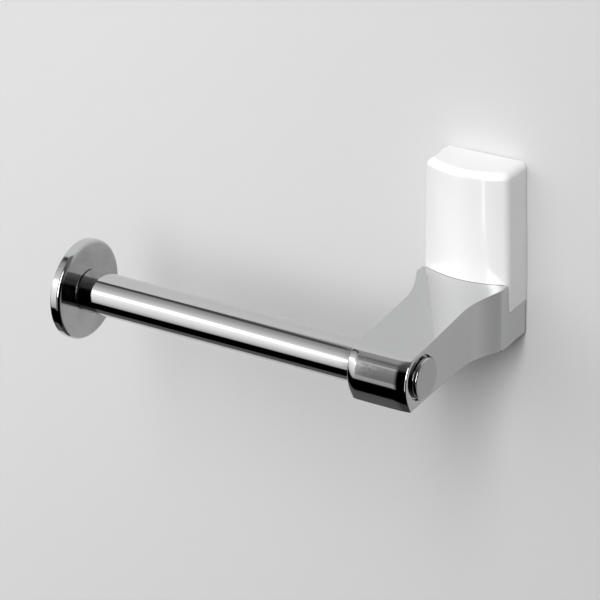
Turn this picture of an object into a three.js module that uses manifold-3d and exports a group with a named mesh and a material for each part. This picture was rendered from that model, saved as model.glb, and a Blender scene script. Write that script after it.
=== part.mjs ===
// Wall-mounted paper roll holder: a die-cast chrome arm on a hidden wall plate, a white slide-on
// cover above it, and a chrome bar with an end disc that pulls out sideways to take a new roll.
// Millimetres. +X right, +Y into the wall, +Z up. The origin is the middle of the wall plate's back
// face, so the wall is the plane y = 0 and everything in front of it has a negative y.
import * as THREE from "three";
import { mergeVertices } from "three/addons/utils/BufferGeometryUtils.js";
import Module from "manifold-3d";

const wasm = await Module();
wasm.setup();

// ---------------------------------------------------------------- driving dimensions
const GAP = 0.3; // between pieces that touch
const FINE = 64; // sides of a large round
const COARSE = 32; // sides of a small round

const bar = {
  radius: 9,
  wall: 1, // of the tube
  reach: 75, // of its axis, from the wall
  z: -26.5, // height of its axis
  clearLength: 132.6, // between the disc and the arm, where the roll hangs
};

const disc = { radius: 21.3, thickness: 4.8, frontRound: 1.6, backRound: 0.8 };

const nose = {
  halfWidth: 13.2,
  boreClearance: 0.2,
  wall: 2.1, // above and below the bore
  frontWall: 4.3,
  topSetback: 9, // from the fullest front back to where the top starts to turn down
  bottomSetback: 3.7, // and to the bottom edge
  brow: [5, 8], // how far the turn's two ends hold their direction
  chin: [4, 4.2],
  chinLean: 27, // degrees that the front leans back at the bottom edge
};

const base = {
  halfWidth: 19.6,
  depth: 21.6, // from the wall to the crease where the arm starts
  bottom: -37.1,
  lipTop: -10.3, // top of the front lip, which the cover stands on
  wall: 2.4,
  frontWall: 3,
  wallGap: 0.8, // shadow gap at the wall
};

const arm = {
  flare: 20.4, // length over which the base narrows to the nose's width
  topSag: 0.5, // how far the top dips below a straight line
  bottomRise: 1, // how far the underside rises above one
  rootStep: 0.6, // underside's step at the base
};

const cover = {
  top: 37.5,
  wall: 2,
  draft: 1.2, // degrees, on each side
  cornerSetback: 5.7, // of the two front vertical edges, from the base's front
  bow: 4.9, // how far the front bows out between them
  cornerRound: 2,
  topRound: 3,
  skirtBottom: -22.9,
  seamTopSetback: 5.2, // of the skirts' front edges, where they reach the lip
  seamBottomSetback: 6.6, // and at the skirts' bottom
  hookWidth: 3.4,
};

const plate = {
  thickness: 3,
  edgeGap: 0.7, // to the cup's floor
  topGap: 1.5, // to the inside of the cover's top
  hookGap: 0.6, // beside the cover's hooks
  wingWidth: 2.4, // stepped edges that the cover's hooks run behind
  wingThickness: 2,
  wingRoot: 0.7, // how deep a wing joins the plate
};

const collar = { halfWidth: 13, wall: 2.6, floorGap: 1.7, topGap: 1.2, frontGap: 4.6 };

const screw = {
  pitch: 42,
  shankRadius: 2,
  headRadius: 4,
  headHeight: 2.6,
  length: 30,
  tipLength: 5,
  slotLength: 8,
  slotClearance: 0.4,
  recessWidth: 1.1,
  recessSpan: 4.4,
  recessDepth: 1.6,
};

const wallPlug = {
  radius: 3,
  boreClearance: 0.2,
  collarRadius: 3.8,
  collarLength: 0.9,
  length: 28,
  taper: 0.6,
  slit: 1,
  slitStart: 8,
};

const washer = { radius: 5.2, thickness: 1, clearance: 0.25 };

const spring = {
  strip: 0.5,
  halfWidth: 4,
  washerGap: 4.5,
  foot: 9,
  dipGap: 2.5, // its bend is pulled down to this height above the collar
  press: 17.5, // height above the collar up to which it presses on the cover
  tip: 5,
  tipBack: 2, // how far the tip bends back from the cover
};

const rivet = { radius: 1.2, headRadius: 2.2, headHeight: 1 };

const grub = {
  radius: 2.5,
  length: 4.6,
  inset: 0.4, // from the base's underside
  y: -9,
  threadClearance: 0.05,
  socketAcross: 2.5,
  socketDepth: 2,
  bossHalf: 5,
  bossGap: 0.7,
};

const post = { collarGap: 0.5, skirtGap: 0.4 }; // at each front corner of the cup, under the cover

// O-rings in grooves of the bore, offset each way from the arm's middle.
const ring = { section: 0.6, barGap: 0.06, grooveGap: 0.2, offset: 7 };

const plug = {
  headInset: 1.2, // of the tube's end, inside the bore
  headStep: 0.6, // head's radius, less than the bar's
  proud: 2,
  round: 0.6,
  length: 12,
};

const insert = { length: 14, fit: 0.05 };

const stud = { radius: 2.45, clearance: 0.15, length: 15, intoDisc: 3, chamfer: 0.4 };

// ---------------------------------------------------------------- places worked out from them
const boreRadius = bar.radius + nose.boreClearance;
const noseHalfHeight = boreRadius + nose.wall;
const noseFront = [-bar.reach - boreRadius - nose.frontWall, bar.z];
const noseTop = [noseFront[0] + nose.topSetback, bar.z + noseHalfHeight];
const noseBottom = [noseFront[0] + nose.bottomSetback, bar.z - noseHalfHeight];
const discFaceX = -nose.halfWidth - bar.clearLength;
const barEndX = nose.halfWidth - plug.headInset;
const tubeBore = bar.radius - bar.wall;

const coverFloor = base.lipTop + GAP; // the cover's front lower edge
const coverCornerY = cover.cornerSetback - base.depth;
const coverBackY = -GAP;
const seamTopY = cover.seamTopSetback - base.depth;
const seamBottomY = cover.seamBottomSetback - base.depth;
const hookInnerX = base.halfWidth - cover.wall - cover.hookWidth;

const cupFloor = base.bottom + base.wall;
const cupFrontY = base.frontWall - base.depth;
const cupHalf = base.halfWidth - base.wall;
const plateTop = cover.top - cover.wall - plate.topGap;
const plateBottom = cupFloor + plate.edgeGap;
const plateCore = hookInnerX - plate.hookGap;
const wingBackY = plate.wingRoot - plate.thickness;
const collarBottom = cupFloor + collar.floorGap;
const collarTop = base.lipTop - collar.topGap;
const lowerScrewZ = (collarBottom + collarTop) / 2;
const upperScrewZ = lowerScrewZ + screw.pitch;
const springFaceY = -plate.thickness - GAP - spring.strip; // front face of the spring's foot
const springFootTop = upperScrewZ - washer.radius - spring.washerGap;
const rivetZ = springFootTop - spring.foot / 2;

// ---------------------------------------------------------------- helpers
function solid(geometry) {
  const bare = geometry.index ? geometry.toNonIndexed() : geometry.clone();
  bare.deleteAttribute("normal");
  bare.deleteAttribute("uv");
  const merged = mergeVertices(bare, 1e-4);
  const corners = merged.index.array;
  const kept = [];
  for (let i = 0; i < corners.length; i += 3) {
    const [a, b, c] = corners.slice(i, i + 3);
    if (a !== b && b !== c && c !== a) kept.push(a, b, c);
  }
  return new wasm.Manifold(
    new wasm.Mesh({
      numProp: 3,
      vertProperties: merged.attributes.position.array,
      triVerts: new Uint32Array(kept),
    }),
  );
}

function geometryOf(manifold) {
  const mesh = manifold.getMesh();
  const geometry = new THREE.BufferGeometry();
  geometry.setAttribute("position", new THREE.BufferAttribute(mesh.vertProperties, 3));
  geometry.setIndex(new THREE.BufferAttribute(mesh.triVerts, 1));
  geometry.computeVertexNormals();
  return geometry;
}

function box(x0, x1, y0, y1, z0, z1) {
  const geometry = new THREE.BoxGeometry(x1 - x0, y1 - y0, z1 - z0);
  return solid(geometry.translate((x0 + x1) / 2, (y0 + y1) / 2, (z0 + z1) / 2));
}

// A plan outline in (x, y), raised from z0 to z1.
function prismUp(outline, z0, z1) {
  const options = { depth: z1 - z0, bevelEnabled: false, curveSegments: COARSE };
  return solid(new THREE.ExtrudeGeometry(outline, options).translate(0, 0, z0));
}

// A side outline in (y, z), drawn out from x0 to x1.
function prismAcross(outline, x0, x1) {
  const options = { depth: x1 - x0, bevelEnabled: false, curveSegments: COARSE };
  const turn = new THREE.Matrix4().makeBasis(
    new THREE.Vector3(0, 1, 0),
    new THREE.Vector3(0, 0, 1),
    new THREE.Vector3(1, 0, 0),
  );
  return solid(new THREE.ExtrudeGeometry(outline, options).applyMatrix4(turn).translate(x0, 0, 0));
}

// A lathe profile of [radius, x] pairs about the bar's axis.
function turnedX(profile, sides) {
  const points = profile.map(([r, x]) => new THREE.Vector2(r, x));
  const geometry = new THREE.LatheGeometry(points, sides).rotateZ(-Math.PI / 2);
  return solid(geometry.translate(0, -bar.reach, bar.z));
}

// A lathe profile of [radius, y] pairs about an axis into the wall, at x = 0 and the given height.
function turnedY(profile, z) {
  const points = profile.map(([r, y]) => new THREE.Vector2(r, y));
  return solid(new THREE.LatheGeometry(points, COARSE).translate(0, 0, z));
}

// An upright rod through the grub screw's place.
function grubRod(radius, z0, z1, sides = COARSE) {
  const geometry = new THREE.CylinderGeometry(radius, radius, z1 - z0, sides);
  return solid(geometry.rotateX(Math.PI / 2).translate(0, grub.y, (z0 + z1) / 2));
}

function rod(radius, x0, x1, sides = FINE) {
  return turnedX([[0, x0], [radius, x0], [radius, x1], [0, x1]], sides);
}

// A closed skin over rings of equal length, each wound counter-clockwise as seen from above, going up.
function loft(rings) {
  const count = rings[0].length;
  const points = rings.flat();
  const faces = [];
  for (let j = 0; j + 1 < rings.length; j += 1) {
    for (let i = 0; i < count; i += 1) {
      const a = j * count + i;
      const b = j * count + ((i + 1) % count);
      faces.push(a, b, b + count, a, b + count, a + count);
    }
  }
  const mean = (row) => row.reduce((sum, p) => sum.add(p), new THREE.Vector3()).divideScalar(count);
  const last = (rings.length - 1) * count;
  points.push(mean(rings[0]), mean(rings.at(-1)));
  for (let i = 0; i < count; i += 1) {
    const next = (i + 1) % count;
    faces.push(points.length - 2, next, i, points.length - 1, last + i, last + next);
  }
  const geometry = new THREE.BufferGeometry().setFromPoints(points);
  return solid(geometry.setIndex(faces));
}

// A rounded outside corner of a lathe profile, from the full radius in to the face. The face looks
// along +x when towards is 1 and along -x when it is -1.
function rounded(radius, face, round, towards, steps) {
  const points = [];
  for (let i = 0; i <= steps; i += 1) {
    const turn = (i / steps) * (Math.PI / 2);
    const r = radius - round * (1 - Math.cos(turn));
    points.push([r, face - towards * round * (1 - Math.sin(turn))]);
  }
  return points;
}

function node(name, manifold, color, roughness, metalness) {
  const material = new THREE.MeshStandardMaterial({ color, roughness, metalness });
  const mesh = new THREE.Mesh(geometryOf(manifold), material);
  mesh.name = name;
  return mesh;
}

const chrome = [0xd6d8da, 0.06, 1];
const zinc = [0x9da1a4, 0.45, 1];
const steel = [0xb4b6b8, 0.3, 1];
const blackSteel = [0x1f1f21, 0.5, 1];
const brass = [0xc9b98a, 0.35, 1];
const rubber = [0x161616, 0.8, 0];
const greyPlastic = [0x8d9094, 0.6, 0];
const whitePlastic = [0xf4f4f2, 0.12, 0];

// ---------------------------------------------------------------- the cover
// The bowed front's y at a given x, for a plan inset from the outer faces.
function coverFront(x, half, inset) {
  return coverCornerY + inset - cover.bow * (1 - (x / half) ** 2);
}

// One closed plan outline at height z: straight back, rounded front corners, bowed front.
function coverRing(inset, z) {
  const slope = Math.tan(THREE.MathUtils.degToRad(cover.draft));
  const half = base.halfWidth - inset - Math.max(z - coverFloor, 0) * slope;
  const round = Math.max(cover.cornerRound - inset, cover.cornerRound / 5);
  const bend = half - round;
  const corner = new THREE.QuadraticBezierCurve(
    new THREE.Vector2(-half, coverFront(half, half, inset) + round),
    new THREE.Vector2(-half, coverFront(half, half, inset)),
    new THREE.Vector2(-bend, coverFront(bend, half, inset)),
  ).getPoints(6);
  const left = [new THREE.Vector2(-half, base.depth), ...corner];
  const steps = 8;
  for (let i = 1; i < steps; i += 1) {
    const x = -bend * (1 - i / steps);
    left.push(new THREE.Vector2(x, coverFront(x, half, inset)));
  }
  const nearest = new THREE.Vector2(0, coverFront(0, half, inset));
  const right = left.map((p) => new THREE.Vector2(-p.x, p.y)).reverse();
  return [...left, nearest, ...right].map((p) => new THREE.Vector3(p.x, p.y, z));
}

// One solid of the cover's form from z0 up, with its top edge rounded.
function coverForm(inset, z0) {
  const top = cover.top - inset;
  const rings = [coverRing(inset, z0), coverRing(inset, coverFloor)];
  for (const [r, sunk] of rounded(0, 0, cover.topRound, 1, 6)) {
    rings.push(coverRing(inset - r * 0.98, top + sunk));
  }
  return loft(rings);
}

// A hook along one back edge, which runs behind one of the wall plate's wings.
function coverHook(side) {
  const reach = base.halfWidth - cover.wall / 2;
  const [x0, x1] = side < 0 ? [-reach, -hookInnerX] : [hookInnerX, reach];
  return box(x0, x1, wingBackY + GAP, coverBackY, cover.skirtBottom, cover.top - cover.wall);
}

function coverShell() {
  const below = cover.skirtBottom - 5;
  const outer = coverForm(0, cover.skirtBottom);
  const shell = outer
    .subtract(coverForm(cover.wall, below))
    .subtract(box(-50, 50, coverBackY, 60, -100, 100))
    .add(coverHook(-1).intersect(outer))
    .add(coverHook(1).intersect(outer));
  const lipCut = new THREE.Shape([
    new THREE.Vector2(-60, below),
    new THREE.Vector2(seamBottomY, below),
    new THREE.Vector2(seamBottomY, cover.skirtBottom),
    new THREE.Vector2(seamTopY, coverFloor),
    new THREE.Vector2(-60, coverFloor),
  ]);
  return shell.subtract(prismAcross(lipCut, -50, 50));
}

// ---------------------------------------------------------------- the arm casting
// Plan outline: straight base sides, a concave flare, then the parallel arm.
function armPlan() {
  const wide = base.halfWidth;
  const narrow = nose.halfWidth;
  const lean = (wide - narrow) / 2;
  const pull = arm.flare / 3;
  const flareEnd = -base.depth - arm.flare;
  const shape = new THREE.Shape();
  shape.moveTo(-wide, -base.wallGap);
  shape.lineTo(-wide, -base.depth);
  shape.bezierCurveTo(-wide + lean, -base.depth - pull, -narrow, flareEnd + pull, -narrow, flareEnd);
  shape.lineTo(-narrow, -2 * bar.reach);
  shape.lineTo(narrow, -2 * bar.reach);
  shape.lineTo(narrow, flareEnd);
  shape.bezierCurveTo(narrow, flareEnd + pull, wide - lean, -base.depth - pull, wide, -base.depth);
  shape.lineTo(wide, -base.wallGap);
  shape.closePath();
  return shape;
}

// Side outline of the casting in (y, z), from the wall round the lip, the arm's top and the nose.
function armSide() {
  const skirtSeat = cover.skirtBottom - GAP;
  const rootBottom = base.bottom + arm.rootStep;
  const topMiddle = [(noseTop[0] - base.depth) / 2, (noseTop[1] + base.lipTop) / 2 - arm.topSag];
  const bottomMiddle = [(noseBottom[0] - base.depth) / 2, (noseBottom[1] + rootBottom) / 2 + arm.bottomRise];
  const lean = THREE.MathUtils.degToRad(nose.chinLean);
  const topPull = [noseTop[0] - nose.brow[0], noseTop[1]];
  const browPull = [noseFront[0], noseFront[1] + nose.brow[1]];
  const chinPull = [noseFront[0], noseFront[1] - nose.chin[0]];
  const bottomPull = [
    noseBottom[0] - nose.chin[1] * Math.sin(lean),
    noseBottom[1] + nose.chin[1] * Math.cos(lean),
  ];
  const shape = new THREE.Shape();
  shape.moveTo(-base.wallGap, base.bottom);
  shape.lineTo(-base.wallGap, skirtSeat);
  shape.lineTo(seamBottomY - GAP, skirtSeat);
  shape.lineTo(seamTopY - GAP, base.lipTop);
  shape.lineTo(-base.depth, base.lipTop);
  shape.quadraticCurveTo(...topMiddle, ...noseTop);
  shape.bezierCurveTo(...topPull, ...browPull, ...noseFront);
  shape.bezierCurveTo(...chinPull, ...bottomPull, ...noseBottom);
  shape.quadraticCurveTo(...bottomMiddle, -base.depth, rootBottom);
  shape.lineTo(-base.depth, base.bottom);
  shape.closePath();
  return shape;
}

function ringGroove(x) {
  const radius = bar.radius + ring.barGap + 2 * ring.section + GAP / 6;
  const half = ring.section + ring.grooveGap;
  return rod(radius, x - half, x + half);
}

// One of the two posts that the cover's front corners stand on.
function cornerPost(side) {
  const x0 = collar.halfWidth + post.collarGap;
  const x1 = base.halfWidth - cover.wall - post.skirtGap;
  const back = seamTopY - GAP;
  const [low, high] = side < 0 ? [-x1, -x0] : [x0, x1];
  return box(low, high, cupFrontY - 1, back, cupFloor - 1, base.lipTop);
}

function armCasting() {
  const block = prismUp(armPlan(), base.bottom - noseHalfHeight, cover.top);
  const cup = box(-cupHalf, cupHalf, cupFrontY, 10, cupFloor, cover.top);
  const bossTop = collarBottom - grub.bossGap;
  const boss = box(-grub.bossHalf, grub.bossHalf, cupFrontY - 1, grub.y + grub.bossHalf, cupFloor - 1, bossTop);
  return block
    .intersect(prismAcross(armSide(), -base.halfWidth, base.halfWidth))
    .subtract(cup)
    .add(boss)
    .add(cornerPost(-1))
    .add(cornerPost(1))
    .subtract(grubRod(grub.radius + grub.threadClearance, base.bottom - 5, bossTop + 5))
    .subtract(rod(boreRadius, -2 * nose.halfWidth, 2 * nose.halfWidth))
    .subtract(ringGroove(-ring.offset))
    .subtract(ringGroove(ring.offset));
}

function grubScrew() {
  const z0 = base.bottom + grub.inset;
  const keyRadius = grub.socketAcross / Math.sqrt(3);
  const key = grubRod(keyRadius, z0 - 5, z0 + grub.socketDepth, 6);
  return grubRod(grub.radius, z0, z0 + grub.length).subtract(key);
}

// ---------------------------------------------------------------- the wall plate and its fixings
// A slotted hole through the plate, running across or up and down.
function slot(z, across) {
  const r = screw.shankRadius + screw.slotClearance;
  const reach = screw.slotLength / 2 - r;
  const shape = new THREE.Shape();
  shape.absarc(reach, 0, r, -Math.PI / 2, Math.PI / 2);
  shape.absarc(-reach, 0, r, Math.PI / 2, (3 * Math.PI) / 2);
  shape.closePath();
  const options = { depth: 20, bevelEnabled: false, curveSegments: 10 };
  const geometry = new THREE.ExtrudeGeometry(shape, options);
  if (!across) geometry.rotateZ(Math.PI / 2);
  return solid(geometry.rotateX(Math.PI / 2).translate(0, 10, z));
}

function rivetHole() {
  const r = rivet.radius + GAP;
  return turnedY([[0, springFaceY - 2], [r, springFaceY - 2], [r, 5], [0, 5]], rivetZ);
}

function wallPlate() {
  const half = plateCore + plate.wingWidth;
  const wingRootX = plateCore - plate.wingWidth;
  const wings = box(-half, half, wingBackY - plate.wingThickness, wingBackY, collarTop + 1, plateTop)
    .subtract(box(-wingRootX, wingRootX, -50, 50, -100, 100));
  const c = collar.wall;
  const w = collar.halfWidth;
  const frontY = cupFrontY + collar.frontGap;
  const cutFrontY = frontY - 10;
  return box(-plateCore, plateCore, -plate.thickness, 0, plateBottom, plateTop)
    .add(wings)
    .add(box(-w, w, frontY, -plate.thickness / 2, collarBottom, collarTop))
    .subtract(box(c - w, w - c, cutFrontY, -plate.thickness, collarBottom + c, collarTop - c))
    .subtract(slot(upperScrewZ, true))
    .subtract(slot(lowerScrewZ, false))
    .subtract(rivetHole())
    .subtract(grubRod(grub.radius + GAP, collarBottom - 5, collarBottom + c + 1));
}

function wallScrew(z) {
  const under = -plate.thickness - washer.thickness - GAP;
  const top = under - screw.headHeight;
  const tip = screw.length - plate.thickness;
  const profile = [
    [0, top],
    ...rounded(screw.headRadius, top, screw.headHeight / 2, -1, 5).reverse(),
    [screw.headRadius, under],
    [screw.shankRadius, under],
    [screw.shankRadius, tip - screw.tipLength],
    [0, tip],
  ];
  const a = screw.recessWidth / 2;
  const b = screw.recessSpan / 2;
  const recess = top + screw.recessDepth;
  return turnedY(profile, z)
    .subtract(box(-a, a, top - 1, recess, z - b, z + b))
    .subtract(box(-b, b, top - 1, recess, z - a, z + a));
}

function flatWasher(z) {
  const r = screw.shankRadius + washer.clearance;
  const y1 = -plate.thickness - GAP / 2;
  const y0 = y1 - washer.thickness;
  return turnedY([[r, y0], [washer.radius, y0], [washer.radius, y1], [r, y1], [r, y0]], z);
}

// An expansion plug for the wall, slit so that it spreads.
function expansionPlug(z) {
  const bore = screw.shankRadius + wallPlug.boreClearance;
  const y0 = GAP;
  const y1 = y0 + wallPlug.length;
  const profile = [
    [bore, y0],
    [wallPlug.collarRadius, y0],
    [wallPlug.collarRadius, y0 + wallPlug.collarLength],
    [wallPlug.radius, y0 + wallPlug.collarLength],
    [wallPlug.radius, y1 - 3 * wallPlug.taper],
    [wallPlug.radius - wallPlug.taper, y1],
    [bore, y1],
    [bore, y0],
  ];
  const a = wallPlug.slit / 2;
  const b = 2 * wallPlug.radius;
  return turnedY(profile, z).subtract(box(-a, a, wallPlug.slitStart, y1 + 1, z - b, z + b));
}

// ---------------------------------------------------------------- the cover's leaf spring
// Its side outline: a foot on the plate, a bend over the collar, and a stretch along the cover.
function leafSpring() {
  const footY = springFaceY + spring.strip / 2;
  const inside = coverFront(spring.halfWidth, base.halfWidth - cover.wall, cover.wall);
  const pressY = inside + GAP + spring.strip / 2;
  const dip = collarTop + spring.dipGap;
  const press = collarTop + spring.press;
  const bend = new THREE.CubicBezierCurve(
    new THREE.Vector2(footY, springFootTop - spring.foot),
    new THREE.Vector2(footY, dip),
    new THREE.Vector2(pressY, dip),
    new THREE.Vector2(pressY, press),
  ).getPoints(16);
  const tip = new THREE.Vector2(pressY + spring.tipBack, press + spring.tip);
  const line = [new THREE.Vector2(footY, springFootTop), ...bend, tip];
  const offset = (side) => line.map((p, i) => {
    const before = line[Math.max(i - 1, 0)];
    const after = line[Math.min(i + 1, line.length - 1)];
    const along = after.clone().sub(before).normalize();
    const shift = (side * spring.strip) / 2;
    return new THREE.Vector2(p.x - along.y * shift, p.y + along.x * shift);
  });
  const outline = new THREE.Shape([...offset(1), ...offset(-1).reverse()]);
  return prismAcross(outline, -spring.halfWidth, spring.halfWidth).subtract(rivetHole());
}

function springRivet() {
  const under = springFaceY - GAP;
  const top = under - rivet.headHeight;
  const profile = [
    [0, top],
    ...rounded(rivet.headRadius, top, rivet.headHeight * 0.8, -1, 4).reverse(),
    [rivet.headRadius, under],
    [rivet.radius, under],
    [rivet.radius, -GAP],
    [0, -GAP],
  ];
  return turnedY(profile, rivetZ);
}

// ---------------------------------------------------------------- the bar
function gripRing(x) {
  const middle = bar.radius + ring.barGap + ring.section;
  const geometry = new THREE.TorusGeometry(middle, ring.section, 12, FINE);
  return solid(geometry.rotateY(Math.PI / 2).translate(x, -bar.reach, bar.z));
}

function barTube() {
  const x0 = discFaceX + GAP;
  return rod(bar.radius, x0, barEndX).subtract(rod(tubeBore, x0 - 5, barEndX + 5));
}

function endDisc() {
  const backX = discFaceX - disc.thickness;
  const profile = [
    [0, backX],
    ...rounded(disc.radius, backX, disc.backRound, -1, 3).reverse(),
    ...rounded(disc.radius, discFaceX, disc.frontRound, 1, 5),
    [0, discFaceX],
  ];
  const seat = rod(stud.radius + stud.clearance, discFaceX - stud.intoDisc - GAP, discFaceX + 5, COARSE);
  return turnedX(profile, FINE * 1.5).subtract(seat);
}

function tubeInsert() {
  const x0 = discFaceX + GAP;
  const x1 = x0 + insert.length;
  const bore = rod(stud.radius + stud.clearance, x0 - 5, x1 + 5, COARSE);
  return rod(tubeBore - insert.fit, x0, x1).subtract(bore);
}

function discStud() {
  const x0 = discFaceX - stud.intoDisc;
  const x1 = x0 + stud.length;
  const r = stud.radius;
  const c = stud.chamfer;
  return turnedX([[0, x0], [r - c, x0], [r, x0 + c], [r, x1 - c], [r - c, x1], [0, x1]], COARSE);
}

function endPlug() {
  const face = nose.halfWidth + plug.proud;
  const head = bar.radius - plug.headStep;
  const shank = tubeBore - insert.fit;
  const x0 = barEndX - plug.length;
  const profile = [
    [0, x0],
    [shank - 1, x0],
    [shank, x0 + 1],
    [shank, barEndX + GAP],
    [head, barEndX + GAP],
    ...rounded(head, face, plug.round, 1, 4),
    [0, face],
  ];
  return turnedX(profile, FINE);
}

// ---------------------------------------------------------------- the assembly
const holder = new THREE.Group();
holder.add(
  node("wall_plate", wallPlate(), ...zinc),
  node("wall_screw_upper", wallScrew(upperScrewZ), ...steel),
  node("wall_screw_lower", wallScrew(lowerScrewZ), ...steel),
  node("washer_upper", flatWasher(upperScrewZ), ...steel),
  node("washer_lower", flatWasher(lowerScrewZ), ...steel),
  node("wall_plug_upper", expansionPlug(upperScrewZ), ...greyPlastic),
  node("wall_plug_lower", expansionPlug(lowerScrewZ), ...greyPlastic),
  node("cover_spring", leafSpring(), ...steel),
  node("spring_rivet", springRivet(), ...steel),
  node("arm_casting", armCasting(), ...chrome),
  node("grub_screw", grubScrew(), ...blackSteel),
  node("grip_ring_inner", gripRing(-ring.offset), ...rubber),
  node("grip_ring_outer", gripRing(ring.offset), ...rubber),
  node("bar_tube", barTube(), ...chrome),
  node("tube_insert", tubeInsert(), ...brass),
  node("disc_stud", discStud(), ...steel),
  node("end_disc", endDisc(), ...chrome),
  node("end_plug", endPlug(), ...chrome),
  node("cover", coverShell(), ...whitePlastic),
);

export default holder;
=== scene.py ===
"""Wall-mounted paper roll holder: the chrome arm, the white slide-on cover, the chrome bar and what holds
them to the wall, on a small studio stage. Metres: +X right, +Y into the wall, +Z up, and the origin is the
middle of the wall plate's back face."""
import math

import bmesh
import bpy
from mathutils import Matrix, Vector


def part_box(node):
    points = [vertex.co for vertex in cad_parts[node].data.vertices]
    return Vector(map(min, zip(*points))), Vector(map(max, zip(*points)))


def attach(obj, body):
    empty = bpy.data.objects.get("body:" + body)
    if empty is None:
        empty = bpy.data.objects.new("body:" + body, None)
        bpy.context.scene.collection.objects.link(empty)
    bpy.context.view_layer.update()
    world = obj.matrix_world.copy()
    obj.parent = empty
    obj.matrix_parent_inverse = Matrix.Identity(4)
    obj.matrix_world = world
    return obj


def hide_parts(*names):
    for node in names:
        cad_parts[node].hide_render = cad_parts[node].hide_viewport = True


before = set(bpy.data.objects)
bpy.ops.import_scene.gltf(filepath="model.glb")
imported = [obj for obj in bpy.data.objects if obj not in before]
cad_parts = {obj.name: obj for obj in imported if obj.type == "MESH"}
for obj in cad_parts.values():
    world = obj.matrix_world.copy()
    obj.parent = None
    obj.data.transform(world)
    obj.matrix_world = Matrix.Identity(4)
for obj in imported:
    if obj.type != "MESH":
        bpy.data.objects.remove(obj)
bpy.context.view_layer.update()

bl_info = {
    "name": "Paper Roll Holder",
    "version": (1, 0, 0),
    "blender": (4, 5, 0),
    "location": "View3D > Sidebar > Roll Holder",
    "description": "Builds a wall-mounted paper roll holder round its packed frame",
    "category": "Add Mesh",
}

MM = 0.001
SHARP = math.radians(32)
SEAM = 0.12 * MM  # between the cover's front edge and the lip that it stands on
SEAM_STEP = (6.6 * MM, 5.2 * MM)  # how far behind the crease that seam runs, at its foot and at the lip
PAST = MM  # how far a cutter or a joined block runs past the face that it crosses


# ---------------------------------------------------------------- places read from the frame
# Each is the lowest and the highest corner of a frame node.
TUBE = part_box("bar_tube")
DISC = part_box("end_disc")
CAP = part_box("end_plug")
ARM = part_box("arm_casting")
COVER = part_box("cover")
AXIS_Y = (TUBE[0].y + TUBE[1].y) / 2
AXIS_Z = (TUBE[0].z + TUBE[1].z) / 2
AXIS = (0, AXIS_Y, AXIS_Z)
BAR_RADIUS = (TUBE[1].z - TUBE[0].z) / 2


# ---------------------------------------------------------------- mesh helpers
def add_object(name, mesh):
    """Puts a mesh into the scene."""
    piece = bpy.data.objects.new(name, mesh)
    bpy.context.scene.collection.objects.link(piece)
    return piece


def mesh_piece(name, points, faces, material, sharp=SHARP):
    """A piece from points and faces, smooth except where two faces meet at more than the sharp angle."""
    mesh = bpy.data.meshes.new(name)
    mesh.from_pydata([tuple(p) for p in points], [], faces)
    shape = bmesh.new()
    shape.from_mesh(mesh)
    bmesh.ops.remove_doubles(shape, verts=shape.verts, dist=1e-7)
    bmesh.ops.recalc_face_normals(shape, faces=shape.faces)
    shape.to_mesh(mesh)
    shape.free()
    smooth(mesh, sharp)
    mesh.materials.append(material)
    return add_object(name, mesh)


def smooth(mesh, sharp=SHARP):
    """Shades the mesh smooth, but for the edges that turn more than the angle."""
    shape = bmesh.new()
    shape.from_mesh(mesh)
    for face in shape.faces:
        face.smooth = True
    for edge in shape.edges:
        edge.smooth = len(edge.link_faces) == 2 and edge.calc_face_angle(0) < sharp
    shape.to_mesh(mesh)
    shape.free()
    mesh.update()


def corner(radius, face, round_, towards, steps):
    """(radius, along) pairs of a rounded outside edge, from the full radius in to a face that looks
    towards +1 or -1."""
    pairs = []
    for i in range(steps + 1):
        turn = i / steps * math.pi / 2
        pairs.append((radius - round_ * (1 - math.cos(turn)), face - towards * round_ * (1 - math.sin(turn))))
    return pairs


def groove(radius, start, depth, slope, width):
    """A groove's (radius, along) pairs: down its slope, along its floor and up again."""
    floor = radius - depth
    return [(radius, start), (floor, start + slope), (floor, start + width - slope), (radius, start + width)]


def turned(name, profile, material, along="x", centre=(0, 0, 0), sides=128, closed=False):
    """A lathe: profile holds (radius, along) pairs. It closes on the axis, or on itself if closed."""
    points, faces, rows = [], [], []
    for radius, a in profile:
        row = []
        for i in range(sides if radius > 0 else 1):
            turn = 2 * math.pi * i / sides
            u, v = radius * math.cos(turn), radius * math.sin(turn)
            local = (a, u, v) if along == "x" else (v, a, u) if along == "y" else (u, v, a)
            row.append(len(points))
            points.append(Vector(centre) + Vector(local))
        rows.append(row)
    pairs = list(zip(rows, rows[1:] + rows[:1])) if closed else list(zip(rows, rows[1:]))
    for lower, upper in pairs:
        for i in range(sides):
            j = (i + 1) % sides
            if len(lower) == 1 and len(upper) == 1:
                continue
            if len(lower) == 1:
                faces.append((lower[0], upper[j], upper[i]))
            elif len(upper) == 1:
                faces.append((lower[i], lower[j], upper[0]))
            else:
                faces.append((lower[i], lower[j], upper[j], upper[i]))
    return mesh_piece(name, points, faces, material)


def ring_faces(rows, count):
    """The faces between rows of points that each go once round, with a lid on both ends."""
    faces = []
    for j in range(rows - 1):
        for i in range(count):
            k = (i + 1) % count
            faces.append((j * count + i, j * count + k, (j + 1) * count + k, (j + 1) * count + i))
    last = (rows - 1) * count
    return faces + [tuple(range(count))[::-1], tuple(range(last, last + count))]


def block(name, low, high, material, edge=0.0, segments=2):
    """A box that is only cut out of a piece or joined to it, with its edges rounded if edge is set."""
    xs, ys, zs = zip(low, high)
    points = [(x, y, z) for x in xs for y in ys for z in zs]
    faces = [(0, 1, 3, 2), (4, 6, 7, 5), (0, 4, 5, 1), (2, 3, 7, 6), (0, 2, 6, 4), (1, 5, 7, 3)]
    piece = mesh_piece(name, points, faces, material)
    if edge:
        bevel(piece, edge, segments, SHARP, harden=True)
    return piece


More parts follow.
